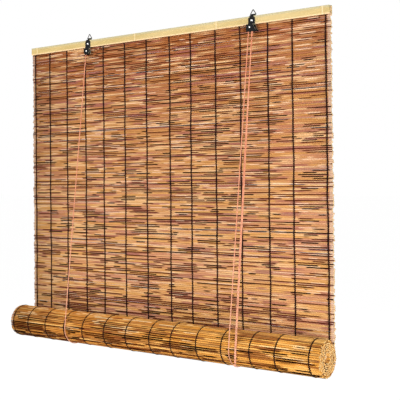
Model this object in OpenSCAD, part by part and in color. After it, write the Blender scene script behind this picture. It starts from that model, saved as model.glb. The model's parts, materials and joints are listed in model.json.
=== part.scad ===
// Bamboo roll-up blind: a reed mat hung from a split head batten and rolled up
// from below in two cord slings. The left hanger carries a pulley and the right
// hanger a cord lock. Millimetres, +Z up, +Y towards the wall.
// The origin is the middle of the head batten's back face.

/* [Blind] */
// Width of the reed mat and of the head batten
blind_w = 1000; // [800:10:1400]
// Height from the middle of the head batten down to the middle of the roll
roll_drop = 807.5; // [500:0.5:1200]

/* [Reeds] */
// Spacing of the reeds in the mat
reed_pitch = 4.8; // [4.4:0.1:6]
// Thickness of one reed
reed_d = 4.6; // [4:0.1:5.5]
// Thickness of the mat in the valley between two reeds
valley_t = 2.4; // [1.6:0.1:3]
// Height of a see-through gap between two reeds
gap_h = 0.9; // [0.5:0.1:1.4]
// Number of see-through gaps
gap_count = 84; // [20:1:110]

/* [Head batten] */
// Height of the head batten
batten_h = 21; // [18:0.5:30]
// Thickness of each of its two strips
strip_t = 5; // [4:0.5:8]
// Rounding of the front strip's long edges
strip_round = 1.2; // [0.5:0.1:2]
// Radius of the ridge at a bamboo joint
joint_ridge_r = 1.6; // [1:0.1:2.5]
// Height of that ridge above the strip
joint_ridge_h = 0.4; // [0.2:0.1:0.8]
// Radius of a brad that holds the strips together
brad_r = 0.7; // [0.5:0.1:1]
// Radius of a brad's head
brad_head_r = 1.6; // [1.2:0.1:2.5]
// Thickness of a brad's head
brad_head_t = 0.6; // [0.4:0.1:1]

/* [Warp threads] */
// Width of a warp thread
thread_w = 2.4; // [1.5:0.1:4]
// Thickness of a warp thread
thread_t = 0.8; // [0.5:0.1:1.2]

/* [Roll] */
// Radius of the roll at its outer lip
roll_r = 45.5; // [35:0.5:60]
// Radius of the hollow in the middle of the roll
core_r = 9.7; // [9.5:0.1:12]
// Play between two turns of the roll
turn_play = 0.3; // [0.2:0.1:1]
// How far the roll's ends stand out past the mat
roll_overhang = 8; // [0:1:20]
// How far the roll has slipped to the left of the mat
roll_slip = 4; // [0:1:8]
// How much further to the left the warp threads lie on the roll
thread_slip = 7; // [5:1:10]
// Width of the bottom slat inside the roll
slat_w = 17; // [10:0.5:17]
// Thickness of the bottom slat
slat_t = 7.4; // [4:0.1:7.5]

/* [Hangers] */
// Width of a hanger's strap
strap_w = 19; // [17:0.5:22]
// Thickness of the hangers' sheet metal
sheet_t = 1.5; // [1:0.1:2]
// Height of the left screw above the middle of the batten
left_screw_z = -0.3; // [-3:0.1:3]
// Height of the right screw above the middle of the batten
right_screw_z = -1.2; // [-3:0.1:3]
// From the screw up to the strap's shoulder
shoulder_rise = 7.5; // [5:0.5:8]
// From the screw up to the eye of the hanging ring
eye_rise = 15.5; // [15.5:0.1:19]
// From the left screw down to the axle of the pulley
left_axle_fall = 21.5; // [20.5:0.5:25]
// From the right screw down to the axle of the cord lock
right_axle_fall = 18; // [17.5:0.5:22]
// Width of the rolled eye
eye_w = 12; // [8:0.5:12]
// Wall of the rolled eye
eye_wall = 1.4; // [1:0.1:2]
// Radius of the sheet's bends at the middle of the sheet
bend_r = 1.5; // [1.2:0.1:1.8]
// How far the round pulley cheek stands out past the strap on each side
pulley_lip = 1.3; // [0.5:0.1:2]
// How far the cord lock flares out to the right
flare_w = 10.5; // [9.5:0.5:14]
// How far the cord lock reaches below its axle
lock_fall = 10.5; // [10:0.5:13]
// Radius of a screw's shank
screw_r = 1.7; // [1.2:0.1:2.2]
// Radius of a screw's head
screw_head_r = 3; // [2.6:0.1:4]
// Height of a screw's head
screw_head_h = 1.8; // [1:0.1:2.5]

/* [Hanging rings] */
// Radius of a ring's wire
wire_r = 1.1; // [0.8:0.1:1.4]
// Width of the ring along the middle of its wire
ring_w = 18.5; // [18:0.5:22]
// Height of the ring along the middle of its wire
ring_h = 14; // [13:0.5:18]
// Bend radius at the ring's two lower corners
ring_foot_r = 1.5; // [1.3:0.1:1.6]
// Bend radius at the top of the ring
ring_top_r = 1.5; // [1.3:0.1:3]

/* [Pulleys and cord lock] */
// Radius of a sheave's flanges
sheave_r = 6.4; // [6:0.1:7.5]
// Radius at the bottom of a sheave's groove
groove_r = 3.2; // [2.8:0.1:3.6]
// Thickness of a sheave
sheave_t = 4; // [3.8:0.1:5]
// Width of a sheave's groove
groove_w = 3; // [2.8:0.1:3.2]
// Radius of an axle
axle_r = 1.6; // [1.2:0.1:2]
// Radius of a rivet's head
rivet_head_r = 2.4; // [2.2:0.1:3.5]
// Height of a rivet's head
rivet_head_h = 1.1; // [0.8:0.1:1.5]
// From the cord lock's axle down to the lock cam's rivet
cam_fall = 3.5; // [2.5:0.1:4]
// Radius of the lock cam's shortest tooth
cam_r = 5.8; // [5:0.1:6]
// How much longer the lock cam's last tooth is
cam_rise = 0.5; // [0.2:0.1:0.7]
// Depth of the lock cam's teeth
tooth_depth = 0.9; // [0.5:0.1:1.2]
// Number of teeth on the lock cam
cam_teeth = 5; // [3:1:7]

/* [Cords] */
// Diameter of the cords
cord_d = 2.5; // [2:0.1:2.6]
// Radius of the knot at the end of a back cord
knot_r = 2; // [1.6:0.1:2.1]
// Radius of the knot that joins the two pull cords
pull_knot_r = 3.6; // [3:0.1:5]

/* [Hidden] */

// One overrun serves all cuts
over = 0.5;
// Running clearance of a pin in its hole
pin_play = 0.06;
// Clearance between moving pieces, and between a cord and what it passes
play = 0.3;
// Facets of true round shapes
$fn = 48;

// Places along the width, as shares of it
thread_place_shares = [
    -0.488, -0.427, -0.3565, -0.282, -0.2125, -0.133, -0.0555,
    0.0245, 0.094, 0.173, 0.249, 0.3295, 0.398, 0.488
];
bamboo_joint_shares = [-0.476, -0.0915, 0.180, 0.482];
brad_place_shares = [-0.45, -0.16, 0.13, 0.42];
left_hanger_share = -0.2665;
right_hanger_share = 0.2874;
left_sling_share = -0.2855;
right_sling_share = 0.2626;

// Depths, from the wall at 0 to the front
mat_back_y = -strip_t;
mat_y = mat_back_y - reed_d / 2;
mat_front_y = mat_back_y - reed_d;
batten_front_y = mat_front_y - strip_t;
strap_front_y = batten_front_y - sheet_t;
rear_sheave_y = strap_front_y - play - sheave_t / 2;
front_sheave_y = rear_sheave_y - sheave_t - play;
left_cover_y = rear_sheave_y - sheave_t / 2 - play;
right_cover_y = front_sheave_y - sheave_t / 2 - play;

// Heights
batten_top = batten_h / 2;
batten_foot = -batten_h / 2;
roll_z = -roll_drop;
mat_top_inset = 1.5;
mat_count = floor((batten_top - mat_top_inset - roll_z - play) / reed_pitch);

// Places of the hangers
left_x = left_hanger_share * blind_w;
right_x = right_hanger_share * blind_w;
left_axle_z = left_screw_z - left_axle_fall;
right_axle_z = right_screw_z - right_axle_fall;
cord_r = cord_d / 2;
wrap_r = groove_r + (groove_w - cord_d) / 2 + cord_r;
lift_left_x = left_x - wrap_r;
lift_right_x = right_x - wrap_r;
pull_x = right_x + wrap_r;

// The hanging ring turns in the strap's rolled eye, over the middle of the batten
eye_y = mat_y;
eye_bore_r = wire_r + pin_play;

// The roll is a spiral whose lip lies in line with the mat, at the back
turn_pitch = reed_d + turn_play;
roll_mid_r = roll_r - reed_d / 2;
roll_y = mat_y - roll_mid_r;
core_mid_r = core_r + reed_d / 2;
roll_angle = 360 * (roll_mid_r - core_mid_r) / turn_pitch;
roll_len = blind_w + 2 * roll_overhang;
roll_reeds = round(PI * (roll_mid_r + core_mid_r) * roll_angle / 360 / reed_pitch);
sling_r = roll_r + play + cord_r;
left_sling_x = left_sling_share * blind_w;
right_sling_x = right_sling_share * blind_w;
back_cord_y = roll_y + sling_r;

// Upright slabs, drawn as an outline in X and Z or in Y and Z

module slab_y(y_low, y_high) {
    translate([0, y_high, 0])
        rotate([90, 0, 0])
            linear_extrude(height = y_high - y_low)
                children();
}

module slab_x(width) {
    rotate([90, 0, 90])
        linear_extrude(height = width, center = true)
            children();
}

module rod_y(x, z, y_low, y_high, r) {
    translate([x, y_high, z])
        rotate([90, 0, 0])
            cylinder(h = y_high - y_low, r = r);
}

// A round bar between two points
module bar(from, to, r) {
    run = to - from;
    translate(from)
        rotate([0, acos(run[2] / norm(run)), atan2(run[1], run[0])])
            cylinder(h = norm(run), r = r);
}

function arc(centre, r, start, end, steps) = [
    for (i = [0 : steps])
        let (a = start + (end - start) * i / steps)
            centre + r * [cos(a), sin(a)]
];

// Head batten: two bamboo strips with the mat between them

function brad_xs() = [for (s = brad_place_shares) s * blind_w];

module brad_holes(r) {
    for (x = brad_xs())
        rod_y(x, 0, batten_front_y + strip_t / 2, over, r);
}

module screw_holes(y_high) {
    rod_y(left_x, left_screw_z, batten_front_y - over, y_high, screw_r + pin_play);
    rod_y(right_x, right_screw_z, batten_front_y - over, y_high, screw_r + pin_play);
}

screw_tip_y = -strip_t / 4;

module back_batten() {
    color([0.86, 0.76, 0.52])
        difference() {
            translate([-blind_w / 2, mat_back_y, batten_foot])
                cube([blind_w, strip_t, batten_h]);
            screw_holes(screw_tip_y);
            brad_holes(brad_r + pin_play);
            for (x = brad_xs())
                rod_y(x, 0, -brad_head_t - brad_head_t / 2, over, brad_head_r + pin_play);
            for (x = [left_sling_x, right_sling_x])
                translate([x, eye_screw_y, batten_foot - over])
                    cylinder(h = eye_shank + over, r = eye_wire_r + pin_play);
        }
}

// The ridge at a bamboo joint is a bar sunk into the strip's front
joint_ridge_y = batten_front_y + joint_ridge_r - joint_ridge_h;

// The front strip's section has rounded long edges
function front_strip_section() = concat(
    [[mat_front_y, batten_foot], [mat_front_y, batten_top]],
    arc([batten_front_y + strip_round, batten_top - strip_round], strip_round, 90, 180, 5),
    arc([batten_front_y + strip_round, batten_foot + strip_round], strip_round, 180, 270, 5)
);

module front_batten() {
    color([0.89, 0.80, 0.57])
        difference() {
            union() {
                slab_x(blind_w)
                    polygon(front_strip_section());
                for (s = bamboo_joint_shares)
                    translate([s * blind_w, joint_ridge_y, batten_foot + strip_round])
                        cylinder(h = batten_h - 2 * strip_round, r = joint_ridge_r);
            }
            screw_holes(over);
            brad_holes(brad_r + pin_play);
        }
}

// Brads are driven from the back, with their heads let in flush
module batten_brads() {
    color([0.62, 0.62, 0.60])
        for (x = brad_xs()) {
            rod_y(x, 0, batten_front_y + strip_t / 2 + play, -brad_head_t, brad_r);
            rod_y(x, 0, -brad_head_t - brad_head_t / 2, -brad_head_t / 2, brad_head_r);
        }
}

// Reed mat: one wall of half-round ridges, front and back

function reed_z(i) = roll_z + play + reed_pitch * i;

// Height of the ridge above the middle of the mat at three places across a reed
ridge_place_shares = [0, 0.22, 0.78];
ridge_depths = [valley_t / 2, reed_d / 2, reed_d / 2];

function mat_side(side) = [
    for (i = [0 : mat_count - 1])
        for (k = [0 : 2])
            [mat_y + side * ridge_depths[k], reed_z(i) + reed_pitch * ridge_place_shares[k]]
];

function mat_top() = [
    [mat_y + valley_t / 2, reed_z(mat_count)],
    [mat_y - valley_t / 2, reed_z(mat_count)]
];

function backwards(list) = [for (i = [len(list) - 1 : -1 : 0]) list[i]];

// Gaps lie in the valleys between two reeds, between two threads, and spread by a fixed stride
gap_bays = len(thread_place_shares) - 1;
gap_stride = 5;
gap_margin_share = 0.16;
gap_first_row = 8;

function gap_row(i) = gap_first_row + floor(i * (mat_count - 2 * gap_first_row - 4) / gap_count);
function gap_bay(i) = (i * gap_stride) % gap_bays;

module mat_gap(row, bay) {
    low = thread_place_shares[bay] * blind_w;
    span = thread_place_shares[bay + 1] * blind_w - low;
    translate([low + gap_margin_share * span, mat_front_y - over, reed_z(row) - gap_h / 2])
        cube([span * (1 - 2 * gap_margin_share), reed_d + 2 * over, gap_h]);
}

// The cross cord goes through the mat in place of one reed, beside each hanger
module cord_slot(x_low, x_high, z) {
    translate([x_low, mat_front_y - over, z - slot_h / 2])
        cube([x_high - x_low, reed_d + 2 * over, slot_h]);
}

module reed_mat() {
    color([0.72, 0.51, 0.34])
        difference() {
            slab_x(blind_w)
                polygon(concat(mat_side(1), mat_top(), backwards(mat_side(-1))));
            screw_holes(over);
            brad_holes(brad_r + pin_play);
            for (i = [0 : gap_count - 1])
                mat_gap(gap_row(i), gap_bay(i));
            cord_slot(left_slot_low, left_slot_high, left_slot_z);
            cord_slot(right_slot_low, right_slot_high, right_slot_z);
        }
}

// Each warp thread runs down the front and the back of the mat. In front it stops above the roll.
thread_lift = 30;

module mat_threads() {
    color([0.20, 0.13, 0.10])
        for (s = thread_place_shares)
            translate([s * blind_w - thread_w / 2, 0, 0]) {
                translate([0, mat_front_y - thread_t, roll_z + thread_lift])
                    cube([thread_w, thread_t, batten_foot - roll_z - thread_lift]);
                translate([0, mat_back_y, roll_z + play])
                    cube([thread_w, thread_t, batten_foot - roll_z - play]);
            }
}

// Roll: the lower part of the mat, wound with the lip at the back and the turns inwards

function turn_r(a) = roll_mid_r - turn_pitch * a / 360;
function turn_at(a, out) = [roll_y, roll_z] + (turn_r(a) + out) * [cos(a), -sin(a)];

// Reeds are spaced evenly along the spiral, so the angle goes by the square root
function roll_share_r(s) = sqrt((1 - s) * roll_mid_r * roll_mid_r + s * core_mid_r * core_mid_r);
function roll_share_angle(s) = 360 * (roll_mid_r - roll_share_r(s)) / turn_pitch;

function roll_outside() = [
    for (i = [0 : roll_reeds - 1])
        for (k = [0 : 2])
            turn_at(roll_share_angle((i + ridge_place_shares[k]) / roll_reeds), ridge_depths[k])
];

function roll_inside() = [
    for (i = [0 : roll_reeds])
        turn_at(roll_share_angle(i / roll_reeds), -reed_d / 2)
];

module reed_roll() {
    color([0.78, 0.53, 0.28])
        translate([-roll_slip, 0, 0])
            slab_x(roll_len)
                polygon(concat(roll_outside(), backwards(roll_inside())));
}

// Warp threads follow the roll's outer turn from the lip to just before it meets the mat again
thread_turn = 322;
thread_steps = 20;

function thread_arc(out) = [
    for (i = [0 : thread_steps])
        turn_at(thread_turn * i / thread_steps, reed_d / 2 + out)
];

// A thread lies this far out, to clear the ridges between its own corners
function chord_rise() = roll_r * (1 - cos(thread_turn / thread_steps / 2));

module roll_threads() {
    color([0.20, 0.13, 0.10])
        for (s = thread_place_shares)
            translate([s * blind_w - roll_slip - thread_slip, 0, 0])
                slab_x(thread_w)
                    polygon(concat(
                        thread_arc(thread_t + chord_rise()),
                        backwards(thread_arc(chord_rise()))
                    ));
}

// A flat bamboo slat ends the mat. It lies in the middle of the roll, with one corner at the
// mat's inner end.
slat_corner = atan2(slat_t, slat_w);
slat_shift = core_r - play - norm([slat_w, slat_t]) / 2;

module bottom_slat() {
    color([0.84, 0.72, 0.48])
        translate([-roll_slip, roll_y, roll_z])
            rotate([-roll_angle, 0, 0])
                translate([0, slat_shift, 0])
                    rotate([-slat_corner, 0, 0])
                        cube([blind_w, slat_w, slat_t], center = true);
}

// Hangers: bent sheet-metal straps on the front of the batten

// The strap's neck in Y and Z: up the batten, back over its top and up to the eye
neck_y = batten_front_y - sheet_t / 2;
neck_over_z = batten_top + play + sheet_t / 2;

function neck_side(off, foot_z, eye_z) = concat(
    [[neck_y - off, foot_z]],
    arc([neck_y + bend_r, neck_over_z - bend_r], bend_r + off, 180, 90, 5),
    arc([eye_y - bend_r, neck_over_z + bend_r], bend_r - off, 270, 360, 5),
    [[eye_y - off, eye_z]]
);

module neck_outline(foot_z, eye_z) {
    difference() {
        union() {
            polygon(concat(
                neck_side(sheet_t / 2, foot_z, eye_z),
                backwards(neck_side(-sheet_t / 2, foot_z, eye_z))
            ));
            translate([eye_y, eye_z])
                circle(r = eye_bore_r + eye_wall);
        }
        translate([eye_y, eye_z])
            circle(r = eye_bore_r);
    }
}

module neck(x, screw_z) {
    translate([x, 0, 0])
        slab_x(eye_w)
            neck_outline(screw_z + shoulder_rise - over, screw_z + eye_rise);
}

// A pulley cheek is straight down to the axle and a wider round about it
pulley_r = strap_w / 2 + pulley_lip;

module pulley_outline(x, top_z, axle_z) {
    translate([x - strap_w / 2, axle_z])
        square([strap_w, top_z - axle_z]);
    translate([x, axle_z])
        circle(r = pulley_r);
}

// The cord lock flares to the right, and this share of the flare bows
flare_bow = 0.25;
flare_steps = 8;

function flare(x, top_z, foot_z) = [
    for (i = [0 : flare_steps])
        let (s = i / flare_steps)
            [x + strap_w / 2 + flare_w * s * (1 - flare_bow + flare_bow * s),
                top_z + (foot_z - top_z) * s]
];

module lock_outline(x, top_z, flare_z, axle_z) {
    polygon(concat(
        [[x - strap_w / 2, axle_z - lock_fall], [x - strap_w / 2, top_z], [x + strap_w / 2, top_z]],
        flare(x, flare_z, axle_z - lock_fall)
    ));
}

module strap_hole(x, z, r) {
    rod_y(x, z, strap_front_y - over, batten_front_y + over, r + pin_play);
}

module left_strap() {
    color([0.10, 0.10, 0.11])
        union() {
            difference() {
                slab_y(strap_front_y, batten_front_y)
                    pulley_outline(left_x, left_screw_z + shoulder_rise, left_axle_z);
                strap_hole(left_x, left_screw_z, screw_r);
                strap_hole(left_x, left_axle_z, axle_r);
            }
            neck(left_x, left_screw_z);
        }
}

module right_strap() {
    color([0.10, 0.10, 0.11])
        union() {
            difference() {
                slab_y(strap_front_y, batten_front_y)
                    lock_outline(right_x, right_screw_z + shoulder_rise, batten_foot, right_axle_z);
                strap_hole(right_x, right_screw_z, screw_r);
                lock_rivet_holes(strap_front_y - over, batten_front_y + over);
            }
            neck(right_x, right_screw_z);
        }
}

// A cover stands in front of the sheaves, with its top bent back to the strap

function cover_side(off, face_y, top_z, foot_z) = concat(
    [[strap_front_y, top_z + off]],
    arc([face_y + bend_r, top_z - bend_r], bend_r + off, 90, 180, 5),
    [[face_y - off, foot_z]]
);

module cover_sheet(x, width, face_y, top_z, foot_z) {
    translate([x, 0, 0])
        slab_x(width)
            polygon(concat(
                cover_side(sheet_t / 2, face_y, top_z, foot_z),
                backwards(cover_side(-sheet_t / 2, face_y, top_z, foot_z))
            ));
}

function cover_top_z(axle_z) = axle_z + sheave_r + play + sheet_t / 2;

module left_pulley_cover() {
    color([0.12, 0.12, 0.13])
        difference() {
            intersection() {
                cover_sheet(left_x, 2 * pulley_r, left_cover_y - sheet_t / 2,
                    cover_top_z(left_axle_z), left_axle_z - strap_w);
                slab_y(left_cover_y - sheet_t - over, strap_front_y + over)
                    pulley_outline(left_x, cover_top_z(left_axle_z) + sheet_t, left_axle_z);
            }
            rod_y(left_x, left_axle_z, left_cover_y - sheet_t - over, left_cover_y + over,
                axle_r + pin_play);
        }
}

module right_lock_cover() {
    color([0.12, 0.12, 0.13])
        difference() {
            intersection() {
                cover_sheet(right_x + flare_w / 2, strap_w + flare_w, right_cover_y - sheet_t / 2,
                    cover_top_z(right_axle_z), right_axle_z - strap_w);
                slab_y(right_cover_y - sheet_t - over, strap_front_y + over)
                    lock_outline(right_x, cover_top_z(right_axle_z) + sheet_t,
                        cover_top_z(right_axle_z), right_axle_z);
            }
            lock_rivet_holes(right_cover_y - sheet_t - over, right_cover_y + over);
        }
}

// Pan-head screws clamp strap, strips and mat

module pan_screw(x, z) {
    rod_y(x, z, strap_front_y, screw_tip_y - play, screw_r);
    translate([x, strap_front_y, z])
        rotate([90, 0, 0])
            intersection() {
                cylinder(h = screw_head_h, r = screw_head_r);
                translate([0, 0, screw_head_h - dome_r(screw_head_r, screw_head_h)])
                    sphere(r = dome_r(screw_head_r, screw_head_h));
            }
}

// A dome of this radius rises by a head's height from the head's rim
function dome_r(r, h) = (r * r + h * h) / (2 * h);

module left_screw() {
    color([0.80, 0.80, 0.78])
        pan_screw(left_x, left_screw_z);
}

module right_screw() {
    color([0.80, 0.80, 0.78])
        pan_screw(right_x, right_screw_z);
}

// Rivets: a shaft through both cheeks, a domed head in front and a flat one behind

module rivet(x, z, front_y, r) {
    rod_y(x, z, front_y, batten_front_y, r);
    rod_y(x, z, batten_front_y, batten_front_y + rivet_head_h, rivet_head_r);
    translate([x, front_y, z])
        rotate([90, 0, 0])
            intersection() {
                cylinder(h = rivet_head_h, r = rivet_head_r);
                translate([0, 0, rivet_head_h - dome_r(rivet_head_r, rivet_head_h)])
                    sphere(r = dome_r(rivet_head_r, rivet_head_h));
            }
}

// The guide pin backs the pull cords and the lock cam bites them from the other side
guide_r = axle_r;
guide_x = pull_x - cord_r - play - guide_r;
guide_z = right_axle_z - sheave_r - play - guide_r;
cam_x = pull_x + cord_r + play + cam_r;
cam_z = right_axle_z - cam_fall;

module lock_rivet_holes(y_low, y_high) {
    rod_y(right_x, right_axle_z, y_low, y_high, axle_r + pin_play);
    rod_y(guide_x, guide_z, y_low, y_high, guide_r + pin_play);
    rod_y(cam_x, cam_z, y_low, y_high, axle_r + pin_play);
}

module left_axle() {
    color([0.82, 0.82, 0.80])
        rivet(left_x, left_axle_z, left_cover_y - sheet_t, axle_r);
}

module right_axle() {
    color([0.82, 0.82, 0.80])
        rivet(right_x, right_axle_z, right_cover_y - sheet_t, axle_r);
}

// The guide pin's ends are flush in both cheeks
module guide_pin() {
    color([0.45, 0.45, 0.45])
        rod_y(guide_x, guide_z, right_cover_y - sheet_t, batten_front_y, guide_r);
}

module cam_rivet() {
    color([0.45, 0.45, 0.45])
        rod_y(cam_x, cam_z, right_cover_y - sheet_t, batten_front_y, axle_r);
}

// Lock cam: a toothed sector whose teeth get longer downwards, on the cam rivet
cam_sweep = 52;
cam_hub_r = axle_r + sheet_t;

function cam_teeth_points() = [
    for (k = [0 : 2 * cam_teeth])
        let (s = k / (2 * cam_teeth))
        let (r = cam_r + cam_rise * s - (k % 2) * tooth_depth)
            r * [cos(180 + cam_sweep * s), sin(180 + cam_sweep * s)]
];

module lock_cam() {
    color([0.60, 0.60, 0.58])
        slab_y(right_cover_y + play, strap_front_y - play)
            translate([cam_x, cam_z])
                difference() {
                    union() {
                        polygon(concat([[0, 0]], cam_teeth_points()));
                        circle(r = cam_hub_r);
                    }
                    circle(r = axle_r + pin_play);
                }
}

// Sheaves: turned nylon wheels with a square groove for the cord

module sheave(x, y, z) {
    half = sheave_t / 2;
    slot = groove_w / 2;
    translate([x, y, z])
        rotate([90, 0, 0])
            rotate_extrude()
                polygon([
                    [axle_r + pin_play, -half], [sheave_r, -half], [sheave_r, -slot],
                    [groove_r, -slot], [groove_r, slot],
                    [sheave_r, slot], [sheave_r, half], [axle_r + pin_play, half]
                ]);
}

module left_sheave() {
    color([0.93, 0.92, 0.88])
        sheave(left_x, rear_sheave_y, left_axle_z);
}

module right_rear_sheave() {
    color([0.93, 0.92, 0.88])
        sheave(right_x, rear_sheave_y, right_axle_z);
}

module right_front_sheave() {
    color([0.93, 0.92, 0.88])
        sheave(right_x, front_sheave_y, right_axle_z);
}

// Hanging rings: a wire triangle with round corners, standing up from the eye.
// Its straight foot turns in the eye, and one bent wire closes it above.
ring_steps = 5;
ring_wire_share = 0.98;
foot_corner = atan2(ring_h, ring_w / 2);
foot_reach = ring_foot_r / tan(foot_corner / 2);
foot_half = ring_w / 2 - foot_reach;

function unit(v) = v / norm(v);

// Right half of the wire, from inside the foot to the top
function ring_half() = concat(
    [[foot_half - wire_r, 0]],
    arc([foot_half, ring_foot_r], ring_foot_r, -90, 90 - foot_corner, ring_steps),
    arc([0, ring_h - ring_top_r / cos(foot_corner)], ring_top_r, 90 - foot_corner, 90, ring_steps)
);

function ring_route() = concat(
    [for (p = ring_half()) [p[0], 0, p[1]]],
    [for (i = [len(ring_half()) - 2 : -1 : 0]) [-ring_half()[i][0], 0, ring_half()[i][1]]]
);

module hanging_ring(x, screw_z) {
    translate([x, eye_y, screw_z + eye_rise])
        union() {
            bar([-foot_half, 0, 0], [foot_half, 0, 0], wire_r);
            tube(ring_route(), [0, 1, 0], wire_r * ring_wire_share, wire_sides);
        }
}

module left_ring() {
    color([0.13, 0.13, 0.14])
        hanging_ring(left_x, left_screw_z);
}

module right_ring() {
    color([0.13, 0.13, 0.14])
        hanging_ring(right_x, right_screw_z);
}

// Screw eyes under the back strip, where the back cords are tied
eye_wire_r = 0.8;
eye_ring_r = 2.4;
eye_shank = 9;
eye_screw_y = -strip_t / 2;
eye_ring_z = batten_foot - eye_ring_r - eye_wire_r;
knot_z = eye_ring_z - eye_ring_r - eye_wire_r - knot_r;

module cord_eye(x) {
    translate([x, eye_screw_y, 0]) {
        translate([0, 0, eye_ring_z + eye_ring_r])
            cylinder(h = batten_foot - eye_ring_z - eye_ring_r + eye_shank - play, r = eye_wire_r);
        translate([0, 0, eye_ring_z])
            rotate([90, 0, 0])
                rotate_extrude()
                    translate([eye_ring_r, 0])
                        circle(r = eye_wire_r);
    }
}

module left_cord_eye() {
    color([0.75, 0.68, 0.45])
        cord_eye(left_sling_x);
}

module right_cord_eye() {
    color([0.75, 0.68, 0.45])
        cord_eye(right_sling_x);
}

// Swept tubes: a ring of corners at each point of the route
cord_sides = 8;
wire_sides = 12;

function route_dir(p, i) = unit(p[min(i + 1, len(p) - 1)] - p[max(i - 1, 0)]);

function tube_ring(p, i, up, r, sides) =
    let (d = route_dir(p, i))
    let (n = unit(cross(d, up)))
    let (b = cross(n, d))
    [for (j = [0 : sides - 1]) p[i] + r * (cos(360 * j / sides) * n + sin(360 * j / sides) * b)];

module tube(p, up, r, sides) {
    last = len(p) - 1;
    corners = [for (i = [0 : last]) each tube_ring(p, i, up, r, sides)];
    walls = [
        for (i = [0 : last - 1])
            for (j = [0 : sides - 1])
                let (k = (j + 1) % sides)
                    [i * sides + j, i * sides + k, (i + 1) * sides + k, (i + 1) * sides + j]
    ];
    caps = [
        [for (j = [sides - 1 : -1 : 0]) j],
        [for (j = [0 : sides - 1]) last * sides + j]
    ];
    polyhedron(points = corners, faces = concat(walls, caps));
}

// Lift cords: up the front of the mat, under the roll in a sling, and up the back to an eye

cord_tint = [0.86, 0.52, 0.42];

// The front run hangs straight down past the sheave's flanges and then leans forwards, so it
// meets the sling this many degrees above the roll's middle
flange_fall = sheave_r + play;
function sling_rise(top) = let (d = [top[1] - roll_y, top[2] - flange_fall - roll_z])
    180 - atan2(d[1], d[0]) - acos(sling_r / norm(d));
function sling_front(x, rise) = [x, roll_y - sling_r * cos(rise), roll_z + sling_r * sin(rise)];

module front_cord(top, x) {
    bend = top - [0, 0, flange_fall];
    foot = sling_front(x, sling_rise(top));
    route = [foot + play * unit(bend - foot), bend, top - [0, 0, play]];
    tube(route, [1, 0, 0], cord_r, cord_sides);
}

// The sling's arc runs from the back, under the roll, to where the front run leaves it
module sling(x, top) {
    rise = sling_rise(top);
    translate([x, roll_y, roll_z])
        rotate([90, 0, 90])
            rotate([0, 0, 180 - rise])
                rotate_extrude(angle = 180 + rise)
                    translate([sling_r, 0])
                        circle(r = cord_r);
}

module back_cord(x) {
    bar([x, back_cord_y, roll_z + play], [x, eye_screw_y, knot_z], cord_r);
    translate([x, eye_screw_y, knot_z])
        sphere(r = knot_r);
}

left_lift_top = [lift_left_x, rear_sheave_y, left_axle_z];
right_lift_top = [lift_right_x, front_sheave_y, right_axle_z];

module left_front_cord() {
    color(cord_tint)
        front_cord(left_lift_top, left_sling_x);
}

module right_front_cord() {
    color(cord_tint)
        front_cord(right_lift_top, right_sling_x);
}

module left_back_cord() {
    color(cord_tint)
        back_cord(left_sling_x);
}

module right_back_cord() {
    color(cord_tint)
        back_cord(right_sling_x);
}

module left_sling() {
    color(cord_tint)
        sling(left_sling_x, left_lift_top);
}

module right_sling() {
    color(cord_tint)
        sling(right_sling_x, right_lift_top);
}

// Cords over the sheaves

module sheave_cord(x, y, z, start, turn) {
    translate([x, y, z])
        rotate([90, 0, 0])
            rotate([0, 0, start])
                rotate_extrude(angle = turn)
                    translate([wrap_r, 0])
                        circle(r = cord_r);
}

// The cross cord leaves the left sheave, goes through the mat, runs along behind it and
// comes forward again to the rear sheave of the lock
cross_left_z = left_axle_z + wrap_r;
cross_right_z = right_axle_z + wrap_r;
left_slot_row = mat_count - 6;
right_slot_row = mat_count - 5;
left_slot_z = reed_z(left_slot_row) + reed_pitch / 2;
right_slot_z = reed_z(right_slot_row) + reed_pitch / 2;
slot_h = cord_d + 4 * play;
left_slot_low = left_x + 14.5;
left_slot_high = left_x + 44.5;
right_slot_low = right_x - 35;
right_slot_high = right_x - 22;
cross_route = [
    [left_x + play, rear_sheave_y, cross_left_z],
    [left_x + 6, -18.4, cross_left_z],
    [left_x + 10.5, -18, cross_left_z],
    [left_x + 15.5, -16.6, left_slot_z],
    [left_x + 20.5, -13.5, left_slot_z],
    [left_x + 26.5, -9, left_slot_z],
    [left_x + 32.5, -5, left_slot_z],
    [left_x + 38.5, -2.8, left_slot_z],
    [left_x + 44.5, -2.2, left_slot_z],
    [left_x + 56.5, -2, left_slot_z],
    [-0.10 * blind_w, -2, -16.6],
    [0.02 * blind_w, -2, -15.5],
    [0.14 * blind_w, -2, -14.4],
    [right_x - 49, -2, -13.2],
    [right_x - 39, -2.2, right_slot_z],
    [right_x - 34, -3.4, right_slot_z],
    [right_x - 30, -6.2, right_slot_z],
    [right_x - 26, -10.2, right_slot_z],
    [right_x - 22, -14.2, right_slot_z],
    [right_x - 15, -17, cross_right_z],
    [right_x - 11, -18.2, cross_right_z],
    [right_x - play, rear_sheave_y, cross_right_z]
];

module cross_cord() {
    color(cord_tint) {
        sheave_cord(left_x, rear_sheave_y, left_axle_z, 90, 90);
        tube(cross_route, [0, 0, 1], cord_r, cord_sides);
        sheave_cord(right_x, rear_sheave_y, right_axle_z, 0, 90);
    }
}

// The right lift cord goes over the front sheave
module lock_cord() {
    color(cord_tint)
        sheave_cord(right_x, front_sheave_y, right_axle_z, 0, 180);
}

// The two pull cords hang from the lock, lie against the front of the roll and end in one knot.
// A point of the slanting stretch is given by its share of the way down.
pull_high = [-25, -50];
pull_low = [roll_y - 41.5, roll_z + 32.5];
pull_lean = 9.2;
function pull_at(aside, share, back) = let (p = pull_high + share * (pull_low - pull_high))
    [pull_x - pull_lean * share - aside, p[0] + back, p[1]];
function on_roll(aside, out, rise) = [pull_x - pull_lean - aside, roll_y - out, roll_z + rise];

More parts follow.
